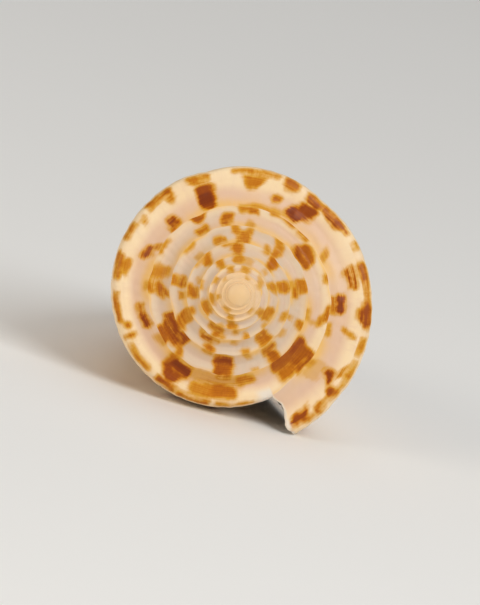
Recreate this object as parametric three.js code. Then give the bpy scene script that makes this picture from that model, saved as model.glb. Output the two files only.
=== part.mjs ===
// A cone shell, lying aperture down as an empty one comes to rest on a flat surface.
// Millimetres, +Z up. The spire faces -Y and the narrow anterior end points to +Y.
//
// The shell is one coiled sheet. Its own frame has the coiling axis on Z with the apex on top.
// "back" counts turns of growth back from the outer lip: the lip is back 0, and seen from the
// apex the earlier whorls follow counter-clockwise at back 1, 2, 3 and so on to the nucleus.

import * as THREE from 'three';
import { ParametricGeometry } from 'three/addons/geometries/ParametricGeometry.js';
import { mergeGeometries, mergeVertices } from 'three/addons/utils/BufferGeometryUtils.js';

// Driving dimensions of the shell
const SHELL_LENGTH = 62; // apex to anterior end, along the axis
const SPIRE_RISE = 8; // shoulder crest at the lip up to the apex
const LIP_RADIUS = 20.4; // axis to the widest point of the outer lip, before its flare
const LIP_FLARE = 0.05; // share by which the lip flares out
const FLARE_REACH = 0.4; // turns over which the flare builds up
const WHORL_RATIO = 1.32; // growth of every radius in one turn
const WHORLS = 9; // turns from the lip back to the nucleus
const NUCLEUS_RISE = 0.55; // height of the smooth dome at the apex
const SPIRE_HOLLOW = 1.7; // 1 is a straight-sided spire, more is a concave one

// Shoulder and ramp, at the size of the lip
const CREST_RADIUS = 18.5; // axis to the crest of the shoulder
const SHOULDER_SHAVE = 1.1; // how much wider the cone of the side would be if it had a sharp shoulder
const SHOULDER_ROUNDING = 0.65; // depth over which the shoulder turns into the side
const CHANNEL_DEPTH = 0.38; // sag of the ramp between suture and crest
const SUTURE_DROP = 0.02; // how far below a crest the next whorl is attached
const SUTURE_DESCENT = 0.3; // extra drop of the suture where it reaches the lip
const DESCENT_REACH = 0.02; // turns over which it drops

// Side of the body whorl
const BASE_RADIUS = 5.2; // axis to the outside of the lip at the anterior end
const SIDE_CONVEXITY = 0.12; // swelling of the side above a straight cone
const LOW_GAP = 3.8; // distance between successive turns below the shoulder
const GAP_BLEND = [0.6, 0.9]; // shares of the height where the gap becomes that of the shoulder
const SIPHON_NOTCH = 0.8; // how far the anterior edge draws back opposite the lip

// Wall and the hollow behind the lip
const LIP_EDGE = 0.5; // wall thickness at the lip's free edge
const WALL = 1.4; // wall thickness deeper inside
const WALL_REACH = 0.12; // turns over which the wall gets its full thickness
const HOLLOW_TURNS = 11 / 12; // how far back the hollow goes
const HOLLOW_END = 0.3; // turns over which it narrows to its end
const COLUMELLA_RADIUS = 1.2; // solid pillar on the axis
const COLUMELLA_TIP = 0.4; // how far its rounded end stands out
const ROOF_BEND = [0.5, 1]; // shares of the ramp where the roof bends towards the outer wall
const WALL_BEND = [0, 0.2]; // shares of the side where that bend is completed

// Free edge of the lip, in turns
const NOTCH_BACK = 0.006; // the lip draws back in the middle of the ramp
const SHOULDER_BACK = 0.006; // and lies a little behind the suture at the shoulder
const LIP_WORN = 0.016; // and is worn back along the upper side
const WORN_REACH = 0.7; // share of the side's depth that is worn
const LIP_SHIFT_REACH = 0.25; // turns over which the growth lines straighten

// How the empty shell lies: turned about its axis so that the lip is below, then laid on its side
const LIP_TURN = -53.3; // degrees from +X to the lip, seen from the apex
const AXIS_DIP = 12.5; // degrees by which the axis falls towards the anterior end

// Facets
const PER_TURN = 36; // columns in a turn
const RAMP_ROWS = 6;
const SIDE_ROWS = 20;
const SIDE_BUNCHING = 1.6; // rows are closer together near the shoulder
const DOME_ROWS = 3;
const MERGE_MM = 1e-4;

const { clamp, lerp, smoothstep } = THREE.MathUtils;
const TURN_GROWTH = 1 - 1 / WHORL_RATIO; // share of a radius that one turn adds
const NUCLEUS_GROWTH = WHORL_RATIO ** -WHORLS;
const CONE_TOP = LIP_RADIUS + SHOULDER_SHAVE;

// Radius of a whorl as a share of its radius at the lip. The nucleus no longer grows.
const growth = (back) => WHORL_RATIO ** -Math.min(back, WHORLS);

// Height of the shoulder crest: a low spire with concave sides.
function crestHeight(back) {
  const climbed = 1 - (growth(back) - NUCLEUS_GROWTH) / (1 - NUCLEUS_GROWTH);
  const atLip = SHELL_LENGTH - SPIRE_RISE;
  return atLip + (SPIRE_RISE - NUCLEUS_RISE) * climbed ** SPIRE_HOLLOW;
}

const baseHeight = (back) => SIPHON_NOTCH * Math.sin(Math.PI * Math.min(back, 1)) ** 2;

// Outline of the lip: radius at a share of the height, 1 at the crest and 0 at the anterior end.
// A slightly swollen cone, rounded over at the shoulder.
function lipOutline(share) {
  const crownDepth = (1 - share) * (SHELL_LENGTH - SPIRE_RISE);
  const swollen = share + SIDE_CONVEXITY * share * (1 - share);
  const rounding = Math.exp(-Math.sqrt(crownDepth / SHOULDER_ROUNDING));
  const cone = BASE_RADIUS + (CONE_TOP - BASE_RADIUS) * swollen;
  return cone - (CONE_TOP - CREST_RADIUS) * rounding;
}

const flare = (back) => 1 + LIP_FLARE * (1 - smoothstep(back, 0, FLARE_REACH));

// Radius of whorl `back` at a depth below its own crest.
function sideRadius(back, depth) {
  const share = 1 - depth / (crestHeight(back) - baseHeight(back));
  const outline = lipOutline(share);
  const gap = lerp(LOW_GAP, outline * TURN_GROWTH, smoothstep(share, ...GAP_BLEND));
  const turnsIn = (1 - growth(back)) / TURN_GROWTH;
  return (outline - gap * turnsIn) * flare(back);
}

// Depth below the crest of whorl `back` at which the next whorl is attached.
function sutureDepth(back) {
  const descent = SUTURE_DESCENT * Math.exp(-(((back - 1) / DESCENT_REACH) ** 2));
  return SUTURE_DROP * growth(back) + descent;
}

// Profile points are { radius, height } in the half-plane of their turn.
function suture(back) {
  const depth = sutureDepth(back);
  return { radius: sideRadius(back, depth), height: crestHeight(back) - depth };
}

// Channelled ramp of a whorl, across 0 at the inner suture to 1 at the outer one.
// It falls from the suture into the channel, rises to the crest and rounds over it.
function ramp(back, across) {
  const inner = suture(back + 1);
  const outer = suture(back);
  const width = Math.max(outer.radius - inner.radius, MERGE_MM);
  const crestRadius = CREST_RADIUS * growth(back) * flare(back);
  const crestAcross = clamp((crestRadius - inner.radius) / width, 0, 1);
  const top = crestAcross > 0 ? crestHeight(back) : inner.height;
  const radius = lerp(inner.radius, outer.radius, across);
  if (across >= crestAcross) {
    const beyond = (across - crestAcross) / Math.max(1 - crestAcross, MERGE_MM);
    return { radius, height: lerp(top, outer.height, beyond ** 2) };
  }
  const toCrest = across / crestAcross;
  const fall = (inner.height - top) * (1 - toCrest) ** 2;
  const sag = CHANNEL_DEPTH * growth(back) * Math.sin(Math.PI * toCrest) ** 2;
  return { radius, height: top + fall - sag };
}

// Side of a whorl, down 0 just outside the crest to 1 at the anterior end.
function side(back, down, startDepth = sutureDepth(back)) {
  const deepest = crestHeight(back) - baseHeight(back);
  const depth = lerp(startDepth, deepest, down ** SIDE_BUNCHING);
  const radius = Math.max(sideRadius(back, depth), COLUMELLA_RADIUS);
  return { radius, height: crestHeight(back) - depth };
}

const wall = (back) => lerp(LIP_EDGE, WALL, smoothstep(back, 0, WALL_REACH));

// How far the hollow is open at a turn: 1 for most of its way, closing to 0 at its end.
const openness = (back) => Math.sqrt(smoothstep(HOLLOW_TURNS - back, 0, HOLLOW_END));

// Inner side of the hollow: the previous whorl's own side, from under the roof downwards.
const hollowCore = (back, down) =>
  side(back + 1, down, sutureDepth(back + 1) + wall(back) - LIP_EDGE);

// Moves a profile point into the wall by its thickness, tilted 0 straight down to 1 straight inwards.
function inset(point, thickness, tilt) {
  const angle = (tilt * Math.PI) / 2;
  return {
    radius: point.radius - thickness * Math.sin(angle),
    height: point.height - thickness * Math.cos(angle),
  };
}

const mix = (from, to, share) => ({
  radius: lerp(from.radius, to.radius, share),
  height: lerp(from.height, to.height, share),
});

// Underside of the ramp, the roof of the hollow. It starts on the previous whorl.
function hollowRoof(back, across) {
  const start = hollowCore(back, 0);
  const free = inset(ramp(back, across), wall(back), smoothstep(across, ...ROOF_BEND) / 2);
  const atSuture = inset(ramp(back, 0), wall(back), 0);
  const held = (1 - across) ** 2;
  free.radius += (start.radius - atSuture.radius) * held;
  free.height += (start.height - atSuture.height) * held;
  return mix(start, free, openness(back));
}

// Inside of the outer wall.
function hollowWall(back, down) {
  const tilt = 0.5 + smoothstep(down, ...WALL_BEND) / 2;
  const free = inset(side(back, down), wall(back), tilt);
  return mix(hollowCore(back, down), free, openness(back));
}

// Shift of the lip's edge, in turns: an anal notch on the ramp, and a worn hollow along the side.
function lipShift(across, down) {
  const notch = NOTCH_BACK * Math.sin(Math.PI * across) ** 2 + SHOULDER_BACK * across;
  const worn = Math.min(down ** SIDE_BUNCHING / WORN_REACH, 1);
  return notch + LIP_WORN * Math.sin(Math.PI * worn);
}

// Puts a profile point at its turn. The shift of the lip fades over the whorl behind it.
function place(target, point, back, shift = 0) {
  const fade = Math.max(1 - back / LIP_SHIFT_REACH, 0) ** 2;
  const angle = 2 * Math.PI * (back + shift * fade);
  target.set(point.radius * Math.cos(angle), point.radius * Math.sin(angle), point.height);
}

// A patch of the surface: a grid of `turns` from the lip backwards and rows across.
// shape(back, row) gives { point, shift }, row going from 0 to 1.
function patch(firstBack, lastBack, rows, shape, flip = false) {
  const columns = Math.round((lastBack - firstBack) * PER_TURN);
  const geometry = new ParametricGeometry(
    (u, v, target) => {
      const back = lerp(firstBack, lastBack, u);
      const { point, shift } = shape(back, v);
      place(target, point, back, shift);
    },
    columns,
    rows,
  );
  return flip ? turnedRound(geometry) : geometry;
}

// Reverses every face.
function turnedRound(geometry) {
  const index = geometry.getIndex();
  for (let i = 0; i < index.count; i += 3) {
    const second = index.getX(i + 1);
    index.setX(i + 1, index.getX(i + 2));
    index.setX(i + 2, second);
  }
  return geometry;
}

// Smooth nucleus at the apex.
function nucleusPatch() {
  const rim = suture(WHORLS);
  return patch(WHORLS, WHORLS + 1, DOME_ROWS, (back, row) => ({
    point: { radius: rim.radius * row, height: rim.height + NUCLEUS_RISE * (1 - row * row) },
  }), true);
}

function spirePatch() {
  return patch(0, WHORLS, RAMP_ROWS, (back, across) => ({
    point: ramp(back, across),
    shift: lipShift(across, 0),
  }), true);
}

function bodyPatch() {
  return patch(0, 1, SIDE_ROWS, (back, down) => ({
    point: side(back, down),
    shift: lipShift(1, down),
  }), true);
}

// The three surfaces of the hollow: previous whorl, roof and outer wall.
function hollowPatches() {
  return [
    patch(0, HOLLOW_TURNS, SIDE_ROWS, (back, down) => ({ point: hollowCore(back, down) }), true),
    patch(0, HOLLOW_TURNS, RAMP_ROWS, (back, across) => ({
      point: hollowRoof(back, across),
      shift: lipShift(across, 0),
    })),
    patch(0, HOLLOW_TURNS, SIDE_ROWS, (back, down) => ({
      point: hollowWall(back, down),
      shift: lipShift(1, down),
    })),
  ];
}

// Free edge of the lip, between the outside and the hollow.
function lipPatches() {
  const strip = (rows, outside, inside, shift) => new ParametricGeometry((u, v, target) => {
    place(target, mix(outside(v), inside(v), u), 0, shift(v));
  }, 1, rows);
  return [
    strip(RAMP_ROWS, (v) => ramp(0, v), (v) => hollowRoof(0, v), (v) => lipShift(v, 0)),
    strip(SIDE_ROWS, (v) => side(0, v), (v) => hollowWall(0, v), (v) => lipShift(1, v)),
  ];
}

// Anterior end: the cut end of the wall, and inside it the end of the columella.
function basePatches() {
  const hollowEnd = hollowCore(HOLLOW_TURNS, 1);
  const outerEnd = side(1, 1);
  const beyond = (back) => (back - HOLLOW_TURNS) / (1 - HOLLOW_TURNS);
  const wallEnd = (back) =>
    back <= HOLLOW_TURNS ? hollowWall(back, 1) : mix(hollowEnd, outerEnd, beyond(back));
  const coreEnd = (back) => (back <= HOLLOW_TURNS ? hollowCore(back, 1) : wallEnd(back));
  const tip = { radius: 0, height: -COLUMELLA_TIP };
  return [
    patch(0, 1, 1, (back, row) => ({
      point: mix(side(back, 1), wallEnd(back), row),
      shift: lipShift(1, 1),
    }), true),
    patch(0, 1, 1, (back, row) => ({ point: mix(coreEnd(back), tip, row) }), true),
  ];
}

// Joins the patches along their shared edges into one closed surface.
function closedSurface(patches) {
  const joined = mergeGeometries(patches);
  joined.deleteAttribute('normal');
  joined.deleteAttribute('uv');
  const welded = mergeVertices(joined, MERGE_MM);
  const index = welded.getIndex().array;
  const kept = [];
  for (let i = 0; i < index.length; i += 3) {
    const [a, b, c] = index.slice(i, i + 3);
    if (a !== b && b !== c && c !== a) kept.push(a, b, c);
  }
  welded.setIndex(kept);
  welded.computeVertexNormals();
  return welded;
}

function shellMesh() {
  const geometry = closedSurface([
    nucleusPatch(),
    spirePatch(),
    bodyPatch(),
    ...hollowPatches(),
    ...lipPatches(),
    ...basePatches(),
  ]);
  const material = new THREE.MeshStandardMaterial({ color: 0xeac9a2, roughness: 0.35, metalness: 0 });
  const mesh = new THREE.Mesh(geometry, material);
  mesh.name = 'shell';
  return mesh;
}

// Lays the shell down and sets its lowest point on the surface, below the middle of its box.
function laidDown(mesh) {
  const turned = new THREE.Group();
  turned.add(mesh);
  turned.rotation.z = THREE.MathUtils.degToRad(LIP_TURN);
  const lying = new THREE.Group();
  lying.add(turned);
  lying.rotation.x = THREE.MathUtils.degToRad(90 - AXIS_DIP);
  lying.updateMatrixWorld(true);
  const box = new THREE.Box3().setFromObject(lying, true);
  const centre = box.getCenter(new THREE.Vector3());
  lying.position.set(-centre.x, -centre.y, -box.min.z);
  return lying;
}

const coneShell = new THREE.Group();
coneShell.add(laidDown(shellMesh()));

export default coneShell;
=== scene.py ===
"""Cone shell: its coiled surface, its glazed and blotched finish, and a plain studio stage."""

import math

import bpy
import numpy as np
from mathutils import Matrix, Vector


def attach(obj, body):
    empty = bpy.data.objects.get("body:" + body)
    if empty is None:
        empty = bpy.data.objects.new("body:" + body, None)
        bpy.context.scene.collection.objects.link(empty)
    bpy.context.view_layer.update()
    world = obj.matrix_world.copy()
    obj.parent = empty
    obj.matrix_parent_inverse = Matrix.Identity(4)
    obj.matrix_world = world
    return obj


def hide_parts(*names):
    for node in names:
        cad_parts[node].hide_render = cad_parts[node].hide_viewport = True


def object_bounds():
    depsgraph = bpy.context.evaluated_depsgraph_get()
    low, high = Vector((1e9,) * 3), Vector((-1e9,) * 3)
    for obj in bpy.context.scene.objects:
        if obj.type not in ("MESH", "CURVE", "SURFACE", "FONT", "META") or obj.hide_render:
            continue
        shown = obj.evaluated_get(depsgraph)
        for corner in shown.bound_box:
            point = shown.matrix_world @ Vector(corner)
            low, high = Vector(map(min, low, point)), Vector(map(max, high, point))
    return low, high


bl_info = {
    "name": "Cone shell",
    "version": (1, 0, 0),
    "blender": (4, 5, 0),
    "location": "View3D > Sidebar > Cone shell",
    "description": "Builds a cone shell, coiled by one rule, and a plain studio stage around it",
    "category": "Add Mesh",
}

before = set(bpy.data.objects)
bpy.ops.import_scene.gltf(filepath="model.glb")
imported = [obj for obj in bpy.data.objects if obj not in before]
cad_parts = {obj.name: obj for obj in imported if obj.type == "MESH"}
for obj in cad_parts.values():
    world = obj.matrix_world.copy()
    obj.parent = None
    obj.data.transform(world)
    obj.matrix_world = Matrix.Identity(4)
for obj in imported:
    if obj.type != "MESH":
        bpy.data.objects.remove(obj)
CAD_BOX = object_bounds()

MM = 0.001
TAU = 2 * math.pi

# How the mesh is divided. Columns run along the coil, rows run over it and are bunched at its edges. Points
# nearer than a weld become one, and the rounding is smaller than any step between columns or rows.
OUTER_COLUMNS = 360
OUTER_TURNS = 3
INNER_COLUMNS = 120
HOLLOW_COLUMNS = 60
RAMP_ROWS = 26
SIDE_ROWS = 92
LIP_ROWS = 4
DOME_ROWS = 6
SIDE_BUNCHING = 1.6
RAMP_BUNCHING = 0.6
ROUNDING = 1e-9
WELD = 1e-4 * MM

# The photograph's frame: its size, the shell's apex, the real size of a pixel there, the tilt of the view
# off the axis and where the lip lies in it, and how far away the camera stands.
IMAGE_PIXELS = (480, 605)
APEX_PIXEL = (238.5, 295.0)
PIXEL_SIZE = 0.1393 * MM
VIEW_TILT = math.radians(6.5)
LIP_IN_VIEW = math.radians(-68.4)
CAMERA_DISTANCE = 2.0
SENSOR = 36.0

# Blotches seen on the spire, whorl by whorl. Each is where it starts and ends (degrees back from the lip),
# its inner and outer reach (0 suture, 1 shoulder, above 1 over the rim) and its tone (0 ochre, 0.5
# orange-brown, 1 dark). Some add a lean in degrees from the inner to the outer end, and then a widening
# towards the outer end.
SPIRE_BLOTCHES = (
    (
        (1.2, 9.8, 0.77, 1.22, 0.75, -6), (7, 15, 1.1, 1.3, 0.6), (13, 25, 1, 1.18, 0.65),
        (20, 31, 0.1, 0.45, 0), (17, 22, -0.05, 0.05, 0.15), (24, 29.5, -0.05, 0.12, 0.2),
        (25, 30, 0.47, 0.82, 0.9, -1, 0.5), (21.5, 26, 0.84, 1.3, 0.7), (29.5, 35.5, 0.85, 0.96, 0.5, 3),
        (25, 40, 1.2, 1.3, 0.45), (32, 36, 1, 1.3, 0.5), (49.5, 52, 0.5, 0.62, 0.35),
        (48.6, 50.6, 0.62, 0.74, 0.35), (47.8, 49.8, 0.75, 0.86, 0.35), (45, 52, -0.05, 0.13, 0.25),
        (42, 50, 1.1, 1.35, 0.45), (57, 68, -0.08, 0.16, 0.3), (58, 68, 0.12, 0.46, 0.85),
        (55, 62.5, 0.87, 1.4, 0.7), (54, 66, 1, 1.4, 0.68), (72, 81, 0.55, 0.7, 0.8, 1),
        (71, 82, 0.75, 0.86, 0.8), (66, 82, 1.15, 1.35, 0.45), (74, 82, 1, 1.35, 0.6),
        (89.5, 94, 0.02, 0.33, 0.2, 3), (100, 110, 0.88, 1.3, 0.7), (96, 112, 1.05, 1.35, 0.65),
        (88, 92, 1.1, 1.45, 0.45), (114.5, 126, 0.12, 0.58, 0.95, -3), (111, 121.5, 0.34, 0.86, 0.75, -1),
        (113, 121, 0.84, 1.3, 0.65), (130.3, 135.7, 0.36, 0.63, 0.5), (125.5, 133.5, 0.9, 1.5, 0.5),
        (142, 152.5, 0.62, 1.05, 0.32, 0, 0.35), (136, 144, 1.15, 1.45, 0.45),
        (144, 158, 1.15, 1.35, 0.45), (128, 133, -0.05, 0.12, 0.2), (140, 154, -0.05, 0.05, 0.15),
        (131, 147, -0.05, 0.13, 0.2), (168, 178.5, 0.02, 0.92, 0.65), (169, 180, 0.96, 1.4, 0.45),
        (170, 178, 0.18, 0.55, 0.98), (193.5, 203.5, 0.02, 0.22, 0.35), (194, 201, 0.15, 0.43, 0.85),
        (189, 193.5, 0.8, 1.15, 0.45), (189, 203, 1.1, 1.5, 0.5), (206.8, 209.6, 0.94, 1.12, 0.5),
        (213, 218.5, -0.05, 0.2, 0.4, 3), (217.5, 225, 0.14, 0.49, 0.75, 2), (212, 221, 1.2, 1.55, 0.5),
        (228.5, 237.5, 0.75, 1.1, 0.25), (227, 240, 1.05, 1.6, 0.38), (239.5, 244.5, -0.05, 0.12, 0.2),
        (253.5, 262, 0.18, 0.44, 0.6), (260, 269.3, 0.13, 0.45, 0.85), (262.7, 265.5, 0.88, 1.1, 0.45),
        (269, 271.2, 0.8, 1.4, 0.5), (247, 262, 1.2, 1.45, 0.5), (275.5, 284, -0.05, 0.2, 0.15),
        (274, 290, 1.1, 1.4, 0.35), (291.5, 300, -0.05, 0.5, 0.3, 1), (292, 311, 0.04, 0.66, 0.4),
        (296, 309.5, 0.12, 0.52, 0.95), (295, 306.5, 0.45, 1, 0.68, 0, -0.3), (295, 307, 1, 1.5, 0.6),
        (310, 345, 0.08, 0.42, 0.1), (313, 341, 0.41, 1.02, 0.28), (326, 340.5, 0.42, 0.82, 0.42),
        (326.5, 336.5, -0.06, 0.09, 0.5), (341, 353.5, 0.08, 0.42, 0.4), (309, 326, 1.2, 1.5, 0.45),
        (330, 350, 1.3, 1.4, 0.4),
    ),
    (
        (6.5, 37.5, -0.08, 0.47, 0.55), (24, 37, 0.12, 0.45, 0.7), (8, 34, 0.34, 0.84, 0.56),
        (8, 20, 0.4, 0.82, 0.44), (19, 33, 0.7, 1.1, 0.58), (49.5, 58, -0.05, 0.2, 0.15),
        (47.5, 51, 0.2, 0.6, 0.1), (48, 56, 0.56, 0.85, 0.35, 3), (53, 61, 0.78, 1.1, 0.45, 2),
        (75.8, 80.8, 0.8, 1.05, 0.4), (88, 106.5, 0.04, 0.48, 0.62), (98, 106.8, 0.15, 0.42, 0.75),
        (90, 104.5, 0.26, 0.85, 0.56, 0, -0.3), (104.5, 113.5, 0.82, 1.1, 0.45),
        (115, 133, 0.94, 1.1, 0.4), (142, 148, -0.05, 0.25, 0.15), (141, 148, 0.67, 0.97, 0.45, 2),
        (146, 154.5, 0.78, 1.1, 0.4, 2), (162.5, 168.5, 0.02, 0.3, 0.5),
        (157.8, 167.5, 0.2, 0.66, 0.55, -1.5), (179, 189.5, 0.03, 0.38, 0.35),
        (177.8, 187.5, 0.61, 1.1, 0.55, 0, 0.3), (207.5, 215, 0.77, 1.05, 0.35, 2),
        (212, 218.5, 0.88, 1.05, 0.35), (225, 236.5, 0.12, 1.05, 0.15, 4),
        (227.8, 233.2, 0.1, 1.05, 0.25, 5), (235.5, 241, 0.5, 0.62, 0.45),
        (243, 249.5, -0.05, 0.3, 0.5, -4), (238.5, 250, 0.3, 0.62, 0.4, -2),
        (239.5, 249, 0.28, 0.52, 0.55, -2), (238, 246.5, 0.62, 1.05, 0.35), (263, 293, -0.08, 0.42, 0.66),
        (268, 293, 0.15, 0.42, 0.76), (268, 291, 0.32, 0.78, 0.66, 1, -0.15),
        (271.5, 284, 0.64, 1.1, 0.55), (291.3, 296.8, 0.48, 1.05, 0.35, 5), (308, 317, -0.05, 0.08, 0.45),
        (320.5, 338.5, 0.08, 0.6, 0.7), (326, 337, 0.28, 0.52, 0.95), (323, 337, 0.42, 1.1, 0.62, 1),
        (347, 352.5, -0.05, 0.2, 0.2, 3), (352, 357, 0.88, 1.05, 0.35),
    ),
    (
        (4, 18.5, 0.1, 0.42, 0.6), (7.5, 16, 0.35, 1.1, 0.6), (25, 34, 0.03, 0.25, 0.15, 2),
        (40.3, 47.8, 0.58, 1.05, 0.4), (43.5, 49, -0.05, 0.22, 0.25), (65, 76, 0.17, 0.4, 0.55),
        (70, 81.5, 0.35, 1.05, 0.4), (75.5, 82, -0.05, 0.25, 0.25), (109.5, 117, -0.05, 0.55, 0.45, -1),
        (110, 118, 0.45, 0.82, 0.35, 1), (113, 120.5, 0.7, 1.05, 0.4, 2), (119.5, 126, -0.05, 0.32, 0.45),
        (143.5, 157.5, -0.06, 0.35, 0.45), (142.5, 152.5, 0.25, 0.65, 0.45, -1),
        (141, 147.5, 0.58, 0.92, 0.35, -1), (152, 160.5, 0.45, 1.05, 0.4, 3),
        (166.5, 180, 0.05, 0.38, 0.5, 1), (171.5, 179, 0.3, 0.5, 0.45), (196, 208, 0.72, 1.05, 0.3),
        (196, 205, -0.05, 0.2, 0.15), (227.8, 239, 0.08, 0.52, 0.7), (229, 238.5, 0.45, 1.05, 0.5),
        (245, 253.3, 0.2, 0.36, 0.5), (262, 278, -0.05, 0.35, 0.3, 2), (266.5, 280, 0.3, 0.7, 0.6, 3),
        (269.5, 282, 0.65, 1.05, 0.6, 2), (292, 301, -0.05, 0.32, 0.3, 2), (298, 313, 0.08, 0.48, 0.85),
        (311, 319.5, 0.12, 0.3, 0.55), (307.5, 317.5, 0.45, 1.1, 0.6, 1), (345, 353.3, 0.73, 1.05, 0.35),
        (334, 340, 0.03, 0.2, 0.2),
    ),
    (
        (4, 12, -0.05, 1.05, 0.45), (9.5, 20, -0.05, 1.05, 0.6), (40.5, 50.5, 0.54, 1.05, 0.4, 3),
        (71, 85, -0.05, 1.05, 0.5, -1.5), (101.5, 114.5, -0.05, 1.05, 0.6, 2),
        (119.5, 124.5, 0.75, 1.05, 0.45), (147.5, 163, -0.05, 1.05, 0.5, -1),
        (163, 172.5, 0.85, 1.05, 0.45), (190, 203, 0.12, 1, 0.5, -3), (206, 213.5, 0.72, 1.05, 0.2),
        (224, 231, -0.05, 0.2, 0.4), (235, 252, 0.08, 1.05, 0.6, -3), (264, 271.5, 0.62, 1.05, 0.45, 1),
        (294, 320, 0.03, 0.52, 0.55, 3), (306.5, 317.5, 0.4, 1.05, 0.65, 1), (318, 324, 0.68, 0.97, 0.3),
        (335, 341, 0.05, 0.32, 0.4), (350, 357.5, 0.52, 1.05, 0.5),
    ),
    (
        (25.5, 48, -0.05, 0.92, 0.4, 3), (20, 24.5, 0.68, 1.05, 0.25), (73, 88, -0.05, 1.05, 0.4, -7),
        (102, 110, 0.38, 0.8, 0.2), (131, 141, 0.2, 0.8, 0.12), (145, 163, 0.15, 1.05, 0.4, 3),
        (178.5, 191, 0.08, 1.05, 0.4, -1), (224.5, 239, 0.68, 1.05, 0.4),
        (257.5, 283, 0.1, 1.05, 0.45, 3), (308, 315.5, 0.72, 1.05, 0.2), (321, 339, -0.05, 1.05, 0.45, 6),
    ),
    (
        (25, 39.5, 0.2, 1.05, 0.3, 1), (87, 103, 0.1, 0.82, 0.25, 5), (131, 149, 0.15, 0.85, 0.35),
        (164, 179, 0.2, 1.05, 0.4, -3), (204.5, 220.5, 0.2, 0.85, 0.3, 2),
        (246, 268.5, 0.3, 1.05, 0.4, 2), (315, 331.5, 0.15, 1.05, 0.45, -1),
    ),
    (
        (10, 27, -0.05, 0.42, 0.2, 2), (120, 131, -0.05, 0.5, 0.2), (249, 258, 0.45, 1.05, 0.4, 1),
        (288, 309, 0.25, 0.82, 0.25), (85, 96, 0.85, 1.05, 0.2), (194, 201, 0.55, 0.85, 0.15),
    ),
)

# How blotches are drawn: the rounding of their corners as a share of the smaller half-size, the depth at
# which the field is cut off, the length over which neighbours run together, how far all spread, the depths
# between which a tone covers an earlier one, and how far outlines waver (along the coil, and in reach).
# The last four keep widths, sums and angles within limits.
BLOTCH_ROUNDING = 0.75
BLOTCH_LIMIT = 1.5 * MM
BLOTCH_MERGE = 0.15 * MM
BLOTCH_SPREAD = 0.05 * MM
BLOTCH_BLEND = (-0.5 * MM, 0.25 * MM)
BLOTCH_WAVER = (0.16 * MM, 0.05)
BLOTCH_WIDENING_LIMITS = (0.2, 2)
FIELD_LIMITS = (-25, 12)
LEAST_WEIGHT = 1e-12
SMALLEST_RADIUS = 1 * MM

# Reach on the side: for blotches and stains 1 plus the root of depth over the rim's reach, up to a limit,
# and with a least one where widths are worked out; for the UV map 1 plus depth over the side's reach.
# The old whorls' tones fade by a share over a stretch of turns.
RIM_REACH = 3 * MM
RIM_REACH_LIMIT = 3
RIM_LEAST_REACH = 0.35
SIDE_REACH = 5 * MM
OLD_FADE = 0.3
OLD_STRETCH = (1.6, 2.4)

# Spots on the side: spiral rows of seeded orange-brown marks between two depths below the crest. Lengths,
# half-heights, gaps and tones have one entry for plain rows and one for bold ones. Starts, lengths, gaps and
# leans are in degrees. The rows stop before the lip covers them.
SPOT_SEED = 11
SPOT_ROWS = 20
SPOT_DEPTHS = (3.4 * MM, 51.5 * MM)
SPOT_BUNCHING = 0.94
SPOT_STARTS = (0, 14)
SPOT_LAST_START = 372
SPOT_LENGTHS = ((4, 9), (8, 17))
SPOT_HALF_HEIGHTS = ((0.35 * MM, 0.7 * MM), (0.8 * MM, 1.35 * MM))
SPOT_GAPS = ((3, 12), (3, 15))
SPOT_TONES = (0.42, 0.55)
SPOT_TONE_SPREAD = 0.1
SPOT_TONE_LIMITS = (0.2, 0.9)
SPOT_SCATTER = 0.3 * MM
SPOT_LEAN = 2.5
SPOT_WAVER = (0.5 * MM, 0.35 * MM)
SPOTS_STOP = (355 / 360, 359 / 360)

# Places on the shoulder where the rim is worn back: centre and half-width (degrees back), depth.
RIM_WEAR = ((23, 5, 0.16 * MM), (113, 11, 0.36 * MM), (168.5, 9, 0.34 * MM))

# Mottled patterns: how fast they change along the coil (a turn) and over it, and their seeds.
CLOUD_PATTERN = (32, 4.8, 21)
HONEY_PATTERN = (33.8, 2.6, 22)
WAVER_PATTERNS = ((120, 9, 31), (110, 7, 32))
SPOT_PATTERNS = ((70, 0.5 / MM, 41), (60, 0.5 / MM, 42))

# Stains of the ground, and the cream towards the shoulder, which is partly the shell's colour and partly a
# painted highlight along the crest: the turns back or the reach that they lie between, and their shares.
APEX_TURNS = (5.2, 6.6)
APEX_CREAM = 0.5
APEX_HONEY = 0.4
CREAM_AND_HIGHLIGHT_REACH = (0.4, 0.85)
CREAM_CLOUD = 0.22
HONEY_WIDTHS = (0.25, 0.13)
HONEY_BLUR = (0.5, 0.7)
OUTER_HONEY = 0.75
OUTER_HONEY_TURNS = (0.9, 1.1)
CHALK_TURNS = (0.9, 2.0)
CHALK_END = (4.6, 6.0)
CHALK_CLOUD = (0.8, 0.3)

# Callus just outside the lip, and the lip's worn edge: its widths in degrees, plain and at the corner.
CALLUS_TURNS = (350 / 360, 356 / 360)
CALLUS_END = 1.001
CALLUS_REACH = (0.62, 0.85)
CALLUS_DEPTH = 6 * MM
WORN_WIDTHS = (0.9, 2.6)
WORN_CORNER = (1.05, 0.16)
WORN_FULL = 0.35

# The finish's noises: waves along each axis, detail and roughness. The first three follow the coil, and the
# others lie in space.
LINES = ((300, 4, 1), 3, 0.6)
STREAKS = ((70, 1.5, 1), 2, 0.5)
THREADS = ((22, 22, 1), 2, 0.6)
RAGS = ((1100, 1100, 1100), 3, 0.6)
FRAYS = ((600, 600, 600), 3, 0.5)
CLOUDS = ((260, 260, 260), 2, 0.5)
FLOOR_CLOUDS = ((6, 6, 6), 4, 0.5)

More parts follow.
